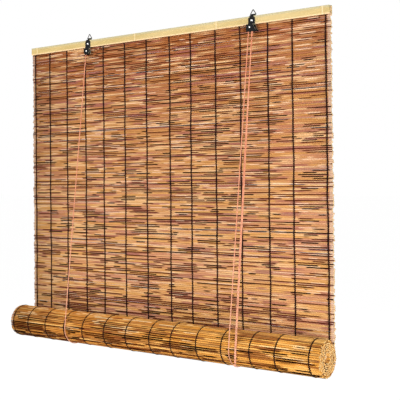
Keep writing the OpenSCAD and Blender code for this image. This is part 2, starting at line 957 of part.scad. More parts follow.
pull_front_route = [
    [pull_x, front_sheave_y, right_axle_z - play],
    [pull_x, -23.2, -30],
    pull_at(0.1, 0, 0),
    pull_at(0.1, 0.15, 0),
    pull_at(0.2, 0.3, 0),
    pull_at(0.3, 0.45, 0),
    pull_at(0.3, 0.6, 0),
    pull_at(0.4, 0.75, 0),
    pull_at(0.5, 0.9, 0),
    pull_at(0.6, 1, 0),
    on_roll(0.7, 44.9, 2.5),
    on_roll(0.8, 45.7, -10),
    on_roll(1, 45.9, -20),
    on_roll(1.3, 45.9, -29)
];
pull_rear_route = [
    [pull_x, rear_sheave_y, right_axle_z - play],
    [pull_x, -18.9, -30],
    pull_at(0.7, 0, 3.6),
    pull_at(2.1, 0.15, 2),
    pull_at(2.7, 0.3, 0.6),
    pull_at(3, 0.45, 0),
    pull_at(3.1, 0.6, 0),
    pull_at(3.2, 0.75, 0),
    pull_at(3.3, 0.9, 0),
    pull_at(3.4, 1, 0),
    on_roll(3.5, 44.9, 2.5),
    on_roll(3.6, 45.7, -10),
    on_roll(3.7, 45.9, -20),
    on_roll(3.9, 45.9, -29)
];
pull_knot_at = on_roll(2.6, 45.9, -33);

module pull_cord_front() {
    color(cord_tint)
        tube(pull_front_route, [1, 0, 0], cord_r, cord_sides);
}

module pull_cord_rear() {
    color(cord_tint)
        tube(pull_rear_route, [1, 0, 0], cord_r, cord_sides);
}

module pull_knot() {
    color(cord_tint)
        translate(pull_knot_at)
            sphere(r = pull_knot_r);
}

back_batten();
front_batten();
batten_brads();
reed_mat();
mat_threads();
left_strap();
right_strap();
left_pulley_cover();
right_lock_cover();
left_screw();
right_screw();
left_axle();
right_axle();
guide_pin();
cam_rivet();
left_ring();
right_ring();
left_sheave();
right_rear_sheave();
right_front_sheave();
lock_cam();
left_cord_eye();
right_cord_eye();
left_front_cord();
right_front_cord();
left_back_cord();
right_back_cord();
cross_cord();
lock_cord();
pull_cord_front();
pull_cord_rear();
pull_knot();
left_sling();
right_sling();
reed_roll();
roll_threads();
bottom_slat();
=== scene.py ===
import json
import math
import random

import bpy
import numpy as np
from mathutils import Matrix, Vector


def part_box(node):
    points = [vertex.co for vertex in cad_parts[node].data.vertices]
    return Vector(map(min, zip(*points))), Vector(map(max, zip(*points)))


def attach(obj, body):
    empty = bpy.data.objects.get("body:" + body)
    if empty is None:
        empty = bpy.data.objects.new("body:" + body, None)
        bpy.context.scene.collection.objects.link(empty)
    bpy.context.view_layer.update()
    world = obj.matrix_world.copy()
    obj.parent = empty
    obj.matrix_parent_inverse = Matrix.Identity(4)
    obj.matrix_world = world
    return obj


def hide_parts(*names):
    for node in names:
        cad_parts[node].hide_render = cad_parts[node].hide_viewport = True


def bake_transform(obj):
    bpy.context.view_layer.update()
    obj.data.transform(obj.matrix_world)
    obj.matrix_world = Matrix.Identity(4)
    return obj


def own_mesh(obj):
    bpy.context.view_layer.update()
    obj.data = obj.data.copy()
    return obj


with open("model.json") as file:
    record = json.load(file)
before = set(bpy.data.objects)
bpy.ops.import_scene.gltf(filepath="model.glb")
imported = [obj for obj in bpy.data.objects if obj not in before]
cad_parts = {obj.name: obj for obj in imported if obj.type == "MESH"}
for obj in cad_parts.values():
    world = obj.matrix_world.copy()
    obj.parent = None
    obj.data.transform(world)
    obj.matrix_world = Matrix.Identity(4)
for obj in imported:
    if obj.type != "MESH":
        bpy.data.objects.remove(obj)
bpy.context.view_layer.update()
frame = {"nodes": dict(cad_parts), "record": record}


# Camera: level with the middle of the mat and well to the right of the blind, so that the
# roll's right end shows. The lens is raised a little against the picture, as its shift.
picture_px = 400
focal_px = 814.2
horizon_px = 169.3
camera_at = (1.349, -1.7371, -0.4015)
left_degrees, up_degrees, roll_degrees = 35.4, 90.9, -0.575
camera_data = bpy.data.cameras.new("camera")
camera_data.sensor_width = 36
camera_data.lens = focal_px / picture_px * camera_data.sensor_width
camera_data.shift_y = (horizon_px - picture_px / 2) / picture_px
camera = bpy.data.objects.new("camera", camera_data)
camera.matrix_world = (
    Matrix.Translation(camera_at)
    @ Matrix.Rotation(math.radians(left_degrees), 4, "Z")
    @ Matrix.Rotation(math.radians(up_degrees), 4, "X")
    @ Matrix.Rotation(math.radians(roll_degrees), 4, "Z")
)
bpy.context.scene.collection.objects.link(camera)
bpy.context.scene.camera = camera


# Cords: two salmon lift cords of three twisted cotton strands. Each is tied to an eye at the back,
# goes under the roll in a sling, up the front and over a sheave, and both hang down from the lock.
mm = 0.001
cord_d = 2.5 * mm
cord_lay = 7.5 * mm
cord_strands = 3
strand_swell = 0.13
cord_sides = 9
knot_sides = 7
cord_step = 1.25 * mm
eye_knot_size = 3.0 * mm
pull_knot_size = 3.6 * mm


class Shade:
    """A socket in a finish, on which shader maths is written as Python."""

    def __init__(self, tree, socket=None):
        self.tree, self.socket = tree, socket

    def node(self, kind, settings={}, sockets={}, out=0):
        """One output of a new node, with its settings made and its sockets filled."""
        made = self.tree.nodes.new(kind)
        for name, value in settings.items():
            setattr(made, name, value)
        for key, value in sockets.items():
            if isinstance(value, Shade):
                self.tree.links.new(value.socket, made.inputs[key])
            else:
                made.inputs[key].default_value = value
        return Shade(self.tree, made.outputs[out])

    def beside(self, out):
        """Another output of the same node."""
        return Shade(self.tree, self.socket.node.outputs[out])

    def maths(self, operation, *values):
        return self.node("ShaderNodeMath", {"operation": operation}, dict(enumerate(values)))

    def __add__(self, other):
        return self.maths("ADD", self, other)

    def __sub__(self, other):
        return self.maths("SUBTRACT", self, other)

    def __rsub__(self, other):
        return self.maths("SUBTRACT", other, self)

    def __mul__(self, other):
        return self.maths("MULTIPLY", self, other)

    __radd__ = __add__
    __rmul__ = __mul__

    def __abs__(self):
        return self.maths("ABSOLUTE", self)

    def wave(self):
        return self.maths("COSINE", self)

    def between(self, low, high):
        """0 below low, 1 above high, and a soft step between them."""
        return self.node("ShaderNodeMapRange", {"interpolation_type": "SMOOTHSTEP"},
                         {"Value": self, "From Min": low, "From Max": high})

    def mix(self, under, over):
        """The colour under where this is 0 and the colour over where it is 1."""
        return self.node("ShaderNodeMix", {"data_type": "RGBA"}, {0: self, 6: under, 7: over}, 2)

    def at(self, x, y, z):
        """A vector of three values."""
        return self.node("ShaderNodeCombineXYZ", {}, {0: x, 1: y, 2: z})

    def noise(self, detail=2.0, roughness=0.5):
        """Noise at this vector, about 0.5."""
        return self.node("ShaderNodeTexNoise", {},
                         {"Vector": self, "Scale": 1.0, "Detail": detail, "Roughness": roughness})

    def grain(self, fineness, detail, roughness=0.5):
        """Noise that is as fine in every direction."""
        x = self.place()
        spot = self.at(x * fineness, x.beside(1) * fineness, x.beside(2) * fineness)
        return spot.noise(detail, roughness)

    def place(self):
        """Object coordinates in metres, as x. y and z are beside it."""
        spot = self.node("ShaderNodeTexCoord", {}, {}, "Object")
        return self.node("ShaderNodeSeparateXYZ", {}, {0: spot})

    def trait(self, name):
        """A vector that the mesh carries at each point, as x. y and z are beside it."""
        carried = self.node("ShaderNodeAttribute", {"attribute_name": name}, {}, "Vector")
        return self.node("ShaderNodeSeparateXYZ", {}, {0: carried})

    def bump(self, distance):
        """A surface that stands out by this height, at most so many metres."""
        return self.node("ShaderNodeBump", {},
                         {"Height": self, "Distance": distance, "Strength": 1.0})

    def feed(self, socket):
        """Joins this to a socket of the finish's shader."""
        self.tree.links.new(self.socket, self.tree.nodes["Principled BSDF"].inputs[socket])


def new_finish(name, **fixed):
    """A material whose fixed values sit on its shader, and its shade to build on."""
    material = bpy.data.materials.new(name)
    material.use_nodes = True
    shader = material.node_tree.nodes["Principled BSDF"]
    for socket, value in fixed.items():
        shader.inputs[socket.replace("_", " ")].default_value = value
    return material, Shade(material.node_tree)


def paint(red, green, blue):
    """A colour as it looks on a screen, from 0 to 255, as the shader's linear colour."""
    def linear(value):
        share = value / 255
        return share / 12.92 if share <= 0.04045 else ((share + 0.055) / 1.055) ** 2.4
    return (linear(red), linear(green), linear(blue), 1.0)


def cotton(name, rubbed, clean, hairs_and_painted_light, groove_shade):
    """Twisted cotton. The trait "cord" holds the angle round the cord and the way along it."""
    finish, shade = new_finish(name, Roughness=0.85, Specular_IOR_Level=0.2)
    strand = shade.trait("cord")
    way = strand.beside(1)
    groove = (strand * cord_strands).wave().between(-1.0, -0.25)
    fluff = shade.at(strand * 5, way * 900, 0.0).noise(3.0)
    worn = shade.at(way * 18, 4.0, 0.0).noise(2.0)
    yarn = worn.between(0.35, 0.65).mix(rubbed, clean)
    yarn = fluff.between(0.55, 0.75).mix(yarn, hairs_and_painted_light)
    # Painted light: the cord is paler towards the bottom.
    yarn = (shade.place().beside(2).between(-0.3, -0.85) * 0.5).mix(yarn, hairs_and_painted_light)
    # Painted shade: the grooves between the strands are darker.
    groove.mix(groove_shade, yarn).feed("Base Color")
    (groove * 0.6 + fluff * 0.4).bump(0.0003).feed("Normal")
    return finish


cord_finish = cotton("cord_cotton", rubbed=paint(216, 140, 106), clean=paint(228, 163, 129),
                     hairs_and_painted_light=paint(242, 192, 160), groove_shade=paint(188, 106, 76))
stained_finish = cotton("stained_cord_cotton", rubbed=paint(128, 76, 48), clean=paint(150, 94, 62),
                        hairs_and_painted_light=paint(176, 118, 84), groove_shade=paint(92, 50, 30))


def smooth_route(points, step):
    """Points a step apart on a curve through the given ones."""
    points = np.array(points, float)
    ends = np.vstack([2 * points[0] - points[1], points, 2 * points[-1] - points[-2]])
    found = []
    for a, b, c, d in zip(ends, ends[1:], ends[2:], ends[3:]):
        count = max(1, round(np.linalg.norm(c - b) / step))
        t = np.linspace(0, 1, count, endpoint=False)[:, None]
        found.append(0.5 * (2 * b + (c - a) * t + (2 * a - 5 * b + 4 * c - d) * t ** 2
                            + (3 * b - a - 3 * c + d) * t ** 3))
    return np.vstack([*found, points[-1:]])


def tube(points, up, radius, sides, lobes=0, lay=1.0):
    """Corners, faces and traits of a round cord along points. Its lobes twist one turn a lay."""
    points = np.array(points, float)
    way = np.concatenate([[0], np.cumsum(np.linalg.norm(np.diff(points, axis=0), axis=1))])
    ahead = np.gradient(points, axis=0)
    ahead /= np.linalg.norm(ahead, axis=1)[:, None]
    side = np.cross(ahead, up)
    side /= np.linalg.norm(side, axis=1)[:, None]
    top = np.cross(side, ahead)
    angle = np.arange(sides) * 2 * math.pi / sides
    turn = angle[None, :] + 2 * math.pi * way[:, None] / lay
    swell = strand_swell if lobes else 0
    reach = radius * (1 + swell * np.cos(lobes * angle)[None, :])
    corners = (points[:, None] + (reach * np.cos(turn))[..., None] * side[:, None]
               + (reach * np.sin(turn))[..., None] * top[:, None])
    rings = len(points)
    start = np.arange(rings - 1)[:, None] * sides
    here, there = np.arange(sides), np.roll(np.arange(sides), -1)
    walls = np.stack([start + here, start + there, start + sides + there, start + sides + here], -1)
    caps = [list(range(sides))[::-1], list(range((rings - 1) * sides, rings * sides))]
    traits = np.stack([np.broadcast_to(angle, (rings, sides)),
                       np.broadcast_to(way[:, None], (rings, sides)),
                       np.zeros((rings, sides))], -1)
    return corners.reshape(-1, 3), walls.reshape(-1, 4).tolist() + caps, traits.reshape(-1, 3)


def make_piece(name, parts, trait, finishes, body):
    """One mesh object of several parts, each with corners, faces and traits. It rides on the body,
    if one is given."""
    corners, faces, traits = [], [], []
    for part_corners, part_faces, part_traits in parts:
        first = sum(map(len, corners))
        corners.append(part_corners)
        faces += [[first + i for i in face] for face in part_faces]
        traits.append(part_traits)
    mesh = bpy.data.meshes.new(name)
    mesh.from_pydata(np.vstack(corners), [], faces)
    mesh.attributes.new(trait, "FLOAT_VECTOR", "POINT").data.foreach_set(
        "vector", np.vstack(traits).astype(np.float32).ravel())
    for finish in finishes:
        mesh.materials.append(finish)
    mesh.polygons.foreach_set("use_smooth", [len(face) == 4 for face in faces])
    piece = bpy.data.objects.new(name, mesh)
    bpy.context.scene.collection.objects.link(piece)
    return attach(piece, body) if body else piece


def make_cord(node, routes, body, knots=(), finish=cord_finish):
    """A twisted cord in place of a CAD node. Each route is its points and the way that is up on it,
    and each knot is its middle and its size."""
    parts = [tube(points, up, cord_d / 2, cord_sides, cord_strands, cord_lay)
             for points, up in routes]
    for middle, size in knots:
        knot_r = cord_d / 2 * size / pull_knot_size
        parts.append(tube(knot_route(middle, size), aslant, knot_r, knot_sides))
    piece = make_piece(node + "_twisted", parts, "cord", [finish], body)
    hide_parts(node)
    return piece


def knot_route(middle, size):
    """An overhand knot drawn tight, as far across as the CAD's ball."""
    knot_points, reach, loop, depth = 49, size * 0.27, 1.1, 0.9
    turn = np.linspace(0, 2 * math.pi, knot_points)
    return np.array(middle) + reach * np.stack([
        np.sin(turn) + loop * np.sin(2 * turn),
        depth * np.sin(3 * turn),
        np.cos(turn) - loop * np.cos(2 * turn),
    ], -1)


def raised(piece, top, foot):
    """Gives a hanging piece a mesh of its own. The share by which it would gather as the roll goes
    up is worked out from its top and foot, and not used.
    """
    lift = joints["roll_lift"]["range_m"][1]
    (foot + lift - top) / (foot - top)
    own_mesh(piece)


across = (1, 0, 0)
inward = (0, 1, 0)
upright = (0, 0, 1)
aslant = (0.3, 0.5, 0.8)
joints = {j["name"]: j for j in frame["record"]["behaviour"]["joints"]}
roll_y, roll_z = joints["roll_turn"]["pos_m"][1:]
sling_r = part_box("left_sling")[1].y - roll_y - cord_d / 2
wrap_r = 4.7 * mm
flange_fall = 6.7 * mm
lift_points = 640
sling_points = 130
eye_knot = {
    "left": (-285.5 * mm, -2.5 * mm, -18.9 * mm),
    "right": (262.6 * mm, -2.5 * mm, -18.9 * mm),
}

for hand in ("left", "right"):
    sheave = joints["left_sheave_turn" if hand == "left" else "right_front_sheave_turn"]["pos_m"]
    knot_x, _, knot_z = eye_knot[hand]
    lift_top = np.array([sheave[0] - wrap_r, sheave[1], sheave[2]])
    lift_bend = lift_top - (0, 0, flange_fall)
    away = lift_bend[1:] - (roll_y, roll_z)
    rise = math.pi - math.atan2(away[1], away[0]) - math.acos(sling_r / np.linalg.norm(away))
    lift_foot = np.array([
        knot_x, roll_y - sling_r * math.cos(rise), roll_z + sling_r * math.sin(rise),
    ])

    front_route = [lift_foot * (1 - t) + lift_bend * t for t in np.linspace(0, 1, lift_points)]
    front = make_cord(f"{hand}_front_cord", [(front_route + [lift_top], across)], "head")
    raised(front, lift_top[2], lift_foot[2])

    turns = np.linspace(0, math.pi + rise, sling_points)
    under = [(knot_x, roll_y + sling_r * math.cos(t), roll_z - sling_r * math.sin(t))
             for t in turns]
    make_cord(f"{hand}_sling", [(under, across)], "sling")

    back_foot = (knot_x, roll_y + sling_r, roll_z)
    back_route = smooth_route([back_foot, eye_knot[hand]], cord_step)
    back = make_cord(f"{hand}_back_cord", [(back_route, across)], "head",
                     [(eye_knot[hand], eye_knot_size)])
    raised(back, knot_z, roll_z)


def over_sheave(joint, start, end):
    """A quarter or half turn over a sheave, by the angles from +X where it starts and ends."""
    x, y, z = joints[joint]["pos_m"]
    degrees_a_step = 9
    count = round(abs(end - start) / degrees_a_step)
    return [(x + wrap_r * math.cos(math.radians(a)), y, z + wrap_r * math.sin(math.radians(a)))
            for a in np.linspace(start, end, count + 1)]


cross_middle = [
    (-260.5, -18.4, -17.1), (-256, -18, -17.1), (-251, -16.6, -17.6), (-246, -13.5, -17.6),
    (-240, -9, -17.6), (-234, -5, -17.6), (-228, -2.8, -17.6), (-222, -2.2, -17.6),
    (-210, -2, -17.6), (-100, -2, -16.6), (20, -2, -15.5), (140, -2, -14.4),
    (238.4, -2, -13.2), (248.4, -2.2, -12.8), (253.4, -3.4, -12.8), (257.4, -6.2, -12.8),
    (261.4, -10.2, -12.8), (265.4, -14.2, -12.8), (272.4, -17, -14.5), (276.4, -18.2, -14.5),
]
left_over = over_sheave("left_sheave_turn", 180, 90)
right_over = over_sheave("right_rear_sheave_turn", 90, 0)
cross_route = smooth_route([left_over[-1], *np.array(cross_middle) * mm, right_over[0]], cord_step)
make_cord("cross_cord", [
    (left_over, inward), (cross_route, upright), (right_over, inward),
], "head", finish=stained_finish)
make_cord("lock_cord", [(over_sheave("right_front_sheave_turn", 180, 0), inward)], "head")

# The two free ends hang from the lock against the front of the roll and end in one knot
pull_routes = {
    "pull_cord_front": [
        (292.1, -22.7, -19.5), (292.1, -23.2, -30), (292, -25, -50), (290.62, -35.05, -158.75),
        (289.14, -45.1, -267.5), (287.66, -55.15, -376.25), (286.28, -65.2, -485),
        (284.8, -75.25, -593.75), (283.32, -85.3, -702.5), (282.3, -92, -775),
        (282.2, -95.4, -805), (282.1, -96.2, -817.5), (281.9, -96.4, -827.5),
        (281.6, -96.4, -836.5),
    ],
    "pull_cord_rear": [
        (292.1, -18.4, -19.5), (292.1, -18.9, -30), (291.4, -21.4, -50), (288.62, -33.05, -158.75),
        (286.64, -44.5, -267.5), (284.96, -55.15, -376.25), (283.48, -65.2, -485),
        (282, -75.25, -593.75), (280.52, -85.3, -702.5), (279.5, -92, -775),
        (279.4, -95.4, -805), (279.3, -96.2, -817.5), (279.2, -96.4, -827.5),
        (279, -96.4, -836.5),
    ],
}
pull_knot_at = np.array((280.3, -96.4, -840.5)) * mm
tail_bend = np.array((0.5, -0.2, -2)) * mm
tail_end = np.array((0.9, -0.4, -3.5)) * mm
tail_route = smooth_route(pull_knot_at + [(0, 0, 0), tail_bend, tail_end], cord_step / 2)
pull_knot = make_cord("pull_knot", [(tail_route, across)], "sling",
                      [(pull_knot_at, pull_knot_size)])
for node, points in pull_routes.items():
    route = smooth_route(np.array(points) * mm, cord_step)
    pull = make_cord(node, [(route, across)], None)
    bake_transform(pull)


# Head batten: two strips of split bamboo, planed flat behind and left with their skin in front.
# The front one shows the bamboo's joints, and brads from behind hold the strips together.
bamboo_joints = [-0.476, -0.0915, 0.180, 0.482]

bamboo_finish, shade = new_finish("split_bamboo", Specular_IOR_Level=0.3)
x = shade.place()
y, z = x.beside(1), x.beside(2)
fibre = shade.at(x * 14, y * 900, z * 900).noise(4.0, 0.6)
patch = shade.at(x * 9, y * 20, z * 40).noise(2.0)
smudge = shade.at(x * 26 + 7.0, y * 60, z * 130).noise(3.0)
lower_edge_highlight = z.between(-0.0062, -0.0094)
upper_edge_shade = z.between(0.0026, 0.0080)
bamboo = patch.between(0.3, 0.7).mix(paint(174, 150, 90), paint(188, 164, 108))
bamboo = (fibre.between(0.52, 0.72) * 0.55).mix(bamboo, paint(178, 146, 88))
bamboo = (smudge.between(0.6, 0.74) * 0.5).mix(bamboo, paint(168, 142, 96))
# Painted highlight: the batten's lower edge is paler.
bamboo = (lower_edge_highlight * 0.7).mix(bamboo, paint(236, 200, 156))
# Painted shade: the batten's top edge is greyer.
bamboo = (upper_edge_shade * 0.8).mix(bamboo, paint(166, 158, 122))
for joint_x in bamboo_joints:
    off = abs(x - joint_x)
    bamboo = (off.between(0.0090, 0.0030) * 0.4).mix(bamboo, paint(176, 144, 82))
    bamboo = (off.between(0.0026, 0.0014) * 0.35).mix(bamboo, paint(236, 222, 182))
bamboo.feed("Base Color")
(0.34 + fibre * 0.2).feed("Roughness")
(fibre * 0.7 + patch * 0.3).bump(0.0004).feed("Normal")

steel_finish, shade = new_finish("bright_steel", Metallic=1.0, Roughness=0.28)
x = shade.place()
y, z = x.beside(1), x.beside(2)
scuff = shade.at(x * 2600, y * 900, z * 2600).noise(3.0)
scuff.mix(paint(206, 206, 202), paint(236, 236, 232)).feed("Base Color")
(0.16 + scuff * 0.24).feed("Roughness")
scuff.bump(0.00004).feed("Normal")


def dress(finish, *nodes):
    """Gives CAD nodes that keep their shape a finish in place of their plain colour."""
    for node in nodes:
        piece = frame["nodes"][node]
        piece.data.materials.clear()
        piece.data.materials.append(finish)


dress(bamboo_finish, "front_batten", "back_batten", "bottom_slat")
dress(steel_finish, "batten_brads")


# Reed mat: thin brown reeds, whole and unpeeled, laid side by side and sawn off roughly at both
# edges. Their skins are streaked, and they bow a little, so slits open and close between them.
# Dark dashes along the slits are painted shade, and pale dashes above them painted highlights.
reed_d = 4.6 * mm
reed_pitch = 4.8 * mm
reed_sides = 8
mat_half = 500 * mm
mat_low, mat_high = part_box("reed_mat")
batten_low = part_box("front_batten")[0]
mat_y = (mat_low.y + mat_high.y) / 2
mat_count = round((mat_high.z - mat_low.z) / reed_pitch)
chance = random.Random(27)


def reed_skin(name, dashes, length, sparse, dim, tips, shine,
              plain, rose, deep, pale, stain, light, slit_shade, slit_shadow):
    """A reed's skin: the trait "reed" holds the reed's own number, and how far out and how far
    aside a point lies. Dark dashes along its lower two thirds are painted shade of the slits
    between reeds, and pale ones above them are painted highlights. sparse says where the
    dashes thin out, dim where painted shade darkens the skin towards deep, and tips where it
    ends."""
    finish, shade = new_finish(name, Specular_IOR_Level=0.01)
    x = shade.place()
    own = shade.trait("reed")
    out, aside = own.beside(1), own.beside(2)
    lane = own * 970
    slow = shade.at(x * 3.1, lane, 0.0).noise(1.0)
    tone = shade.at(x * 8, lane, 3.0).noise(2.0)
    blotch = shade.at(x * 7, lane, 6.0).noise(1.0, 0.4)
    fewer = sparse(x) * 0.04
    dark_reed = own.between(0.955, 0.960) * 0.12
    dash = shade.at(x * length, lane, 9.0).noise(1.0, 0.4) - fewer + dark_reed
    slit_gaps = shade.at(x * 10, lane, 15.0).noise(1.0, 0.4) - fewer
    gleam = shade.at(x * 10, lane, 12.0).noise(1.0, 0.4)
    fibre = shade.at(x * 45, own * 310 + aside * 9, out * 9).noise(3.0)
    low = aside.between(0.2, -0.05)
    skin = slow.between(0.38, 0.56).mix(rose, plain)
    # Painted shade: the skin is darker towards deep where dim says.
    skin = dim(x).mix(skin, deep)
    skin = (tone.between(0.46, 0.66) * 0.85).mix(skin, pale)
    skin = (fibre.between(0.55, 0.75) * 0.3).mix(skin, deep)
    skin = (blotch.between(0.58, 0.64) * 0.7).mix(skin, stain)
    skin = (abs(x).between(tips, tips + 0.004) * 0.6).mix(skin, paint(206, 178, 156))
    # Painted highlight: pale dashes along the upper side of each reed.
    skin = (gleam.between(0.61, 0.64) * aside.between(-0.15, 0.1) * shine).mix(skin, light)
    # Painted shade: dark dashes along the lower side of each reed, at the slits between reeds.
    skin = (dash.between(dashes, dashes + 0.03) * low * 0.95).mix(skin, slit_shade)
    # Painted shadow: the darkest dashes in those slits.
    skin = (slit_gaps.between(0.585, 0.605) * low).mix(skin, slit_shadow)
    skin.feed("Base Color")
    (0.55 + fibre * 0.25).feed("Roughness")
    (fibre * 0.6 + tone * 0.4).bump(0.0003).feed("Normal")
    return finish


# On the mat, dim is painted shade: darker towards the top, most just under the batten, and a little
# less on the right.
reed_finish = reed_skin(
    "reed_skin", dashes=0.525, length=8, tips=0.490, shine=0.65,
    sparse=lambda x: x.between(0.1, 0.5) + x.between(-0.25, -0.5),
    dim=lambda x: ((x.beside(2).between(-0.62, 0.0) * 0.7 + x.beside(2).between(-0.2, 0.0) * 0.2)
                   * (1 - x.between(0.15, 0.5) * 0.15)),
    plain=paint(200, 148, 88), rose=paint(186, 130, 98), deep=paint(142, 80, 42),
    pale=paint(213, 172, 124), stain=paint(146, 88, 80), light=paint(232, 196, 162),
    slit_shade=paint(76, 20, 6), slit_shadow=paint(30, 6, 1),
)

cut_finish, shade = new_finish("reed_cut_end", Roughness=0.8, Specular_IOR_Level=0.2)
x = shade.place()
y, z = x.beside(1), x.beside(2)
pith = shade.at(0.0, y * 700, z * 700).noise(3.0)
pale = pith.between(0.35, 0.68).mix(paint(236, 192, 120), paint(255, 232, 174))
roll_mid_r = mat_y - roll_y
wound = shade.maths("SQRT", (y - roll_y) * (y - roll_y) + (z - roll_z) * (z - roll_z))
inner = wound.between(roll_mid_r - 2 * mm, roll_mid_r - 4 * mm)
pale = (inner * 0.2).mix(pale, paint(186, 118, 54))
rim = abs(shade.trait("reed").beside(1)).between(0.45, 0.85)
(rim * 0.9).mix(pale, paint(116, 60, 20)).feed("Base Color")
pith.bump(0.0003).feed("Normal")


def select(piece, kind, test):
    """Opens a piece in edit mode with only the edges or faces that pass the test selected."""
    bpy.context.tool_settings.mesh_select_mode = (False, kind == "edges", kind == "polygons")
    bpy.ops.object.mode_set(mode="EDIT")
    bpy.ops.mesh.select_all(action="DESELECT")
    bpy.ops.object.mode_set(mode="OBJECT")
    for part in getattr(piece.data, kind):
        part.select = test([piece.data.vertices[i].co for i in part.vertices])
    bpy.ops.object.mode_set(mode="EDIT")


def model_reed():
    """One reed, 1 m long and 1 m thick, in five lengths, with its pith sunk at both ends."""
    rind, sunk = 0.34, 0.0015
    bpy.ops.object.select_all(action="DESELECT")
    bpy.ops.mesh.primitive_cylinder_add(vertices=reed_sides, radius=0.5, depth=1,
                                        rotation=(0, math.pi / 2, 0))
    reed = bpy.context.object
    bpy.ops.object.transform_apply(location=False, rotation=True, scale=False)
    select(reed, "edges", lambda ends: abs(ends[0].x - ends[1].x) > 0.5)
    bpy.ops.mesh.subdivide(number_cuts=4)
    for end in (-1, 1):
        select(reed, "polygons", lambda ring: all(co.x * end > 0.49 for co in ring))
        bpy.ops.mesh.inset(thickness=rind)
        bpy.ops.transform.translate(value=(-sunk * end, 0, 0))
    bpy.ops.object.mode_set(mode="OBJECT")
    corners = np.array([v.co for v in reed.data.vertices])
    faces = [list(p.vertices) for p in reed.data.polygons]
    bpy.data.objects.remove(reed)
    return corners, faces


reed_corners, reed_faces = model_reed()


def lay_reed(start, end, middle, out, thick, bow, wide=1.0):
    """A copy of the reed from start to end along X, with its middle and outer side in Y and Z."""
    along = reed_corners[:, 0] + 0.5
    out = np.array(out)
    aside = np.array([-out[1], out[0]])
    section = thick * (reed_corners[:, 1:2] * out + wide * reed_corners[:, 2:3] * aside)
    waves, shift_y, shift_z = bow
    bend = np.sin(2 * math.pi * (along * waves[0] + waves[1]))[:, None]
    place = np.array(middle) + section + bend * np.array([shift_y, shift_z])
    corners = np.column_stack([start + along * (end - start), place])
    own = np.full(len(along), chance.random())
    return corners, reed_faces, np.column_stack([own, 2 * reed_corners[:, 1:]])


def bow_by(most):
    """A reed's waves along its length and where they start, and how far it bows in Y and in Z."""
    waves = (chance.uniform(0.7, 1.6), chance.random())
    return waves, chance.uniform(-most, most), chance.uniform(-most, most)


def saw_ends(piece):
    """Gives the faces at the reeds' ends, which look along X, the cut finish."""
    piece.data.polygons.foreach_set("material_index", [
        int(abs(p.normal.x) > 0.7) for p in piece.data.polygons
    ])


# The cross cord passes through one reed beside each hanger, which is split in two thin parts there
cord_gaps = {164: (-247 * mm, -229 * mm), 165: (252.4 * mm, 265.4 * mm)}
split_parts = [(-1.1 * mm, 0.6), (2.2 * mm, 0.45)]
split_back = 1.2 * mm
reed_bow = 0.25 * mm
roomward = (-1, 0)
reeds = []
for i in range(mat_count):
    middle_z = mat_low.z + reed_pitch * (i + 0.5)
    left_edge = -mat_half + chance.uniform(-2.5, 2) * mm
    right_edge = mat_half + chance.uniform(-2, 2.5) * mm
    stops = [left_edge, *cord_gaps.get(i, ()), right_edge]
    thick = reed_d * chance.uniform(1.05, 1.13)
    middle = (mat_y + chance.uniform(-0.25, 0.25) * mm,
              middle_z + chance.uniform(-0.2, 0.2) * mm)
    for start, end in zip(stops[::2], stops[1::2]):
        reeds.append(lay_reed(start, end, middle, roomward, thick, bow_by(reed_bow)))
    if i in cord_gaps:
        for push, part in split_parts:
            pushed = (mat_y + split_back, middle_z + push)
            reeds.append(lay_reed(*cord_gaps[i], pushed, roomward, part * reed_d, bow_by(0)))
mat = make_piece("reed_mat_reeds", reeds, "reed", [reed_finish, cut_finish], "head")
saw_ends(mat)
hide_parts("reed_mat")
raised(mat, batten_low.z, mat_low.z)


# Warp threads: dark brown twine. Two strands twist round each other once for each reed, so one
# passes in front of the reed and the other behind it, and they change places between two reeds.
thread_places = [-0.488, -0.427, -0.3565, -0.282, -0.2125, -0.133, -0.0555,
                 0.0245, 0.094, 0.173, 0.249, 0.3295, 0.398, 0.488]
thread_r = 1.9 * mm
thread_reach = reed_d / 2 + 0.7 * mm
thread_swing = 0.8 * mm
thread_drift = 0.5 * mm
thread_sides = 4
steps_apart = 0.25

thread_finish, shade = new_finish("warp_thread", Roughness=0.85, Specular_IOR_Level=0.08)
x = shade.place()
y, z = x.beside(1), x.beside(2)
frayed = shade.at(y * 400, z * 400, 0.0).noise(3.0)
faded = shade.at(y * 14, z * 14, 5.0).noise(1.0)
dark = faded.between(0.4, 0.65).mix(paint(26, 10, 9), paint(44, 20, 15))
(frayed.between(0.55, 0.72) * 0.4).mix(dark, paint(74, 42, 32)).feed("Base Color")
frayed.bump(0.0002).feed("Normal")


def twine(place_x, steps, point, radius):
    """Two strands that twist round the reeds. point gives Y and Z at a step along the mat, in
    reeds, and how far out from the reeds' middle."""
    flatness = 0.7
    strands = []
    lean = [chance.uniform(0, 2 * math.pi) for _ in range(2)]
    for other in (0, 1):
        route = []
        for step in steps:
            turn = math.pi * (step + other)
            out = math.cos(turn)
            out = math.copysign(abs(out) ** flatness, out) * thread_reach
            drift = math.sin(step / 4 + lean[0]) + math.sin(step / 11 + lean[1])
            aside = thread_swing * math.sin(turn) + thread_drift * drift
            route.append((place_x + aside, *point(step, out)))
        strands.append(tube(route, across, radius, thread_sides))
    return strands


def on_mat(step, out):
    """Y and Z of a point on the mat, by its step in reeds and its way out to the room."""
    return mat_y - out, mat_low.z + reed_pitch * (step + 0.5)


first_reed = 3
mat_steps = np.arange(first_reed, (batten_low.z - mat_low.z) / reed_pitch, steps_apart)
mat_strands = [strand for place_x in thread_places
               for strand in twine(place_x, mat_steps, on_mat, thread_r)]
mat_threads = make_piece("mat_threads_twine", mat_strands, "cord", [thread_finish], "head")
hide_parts("mat_threads")
raised(mat_threads, batten_low.z, mat_low.z)


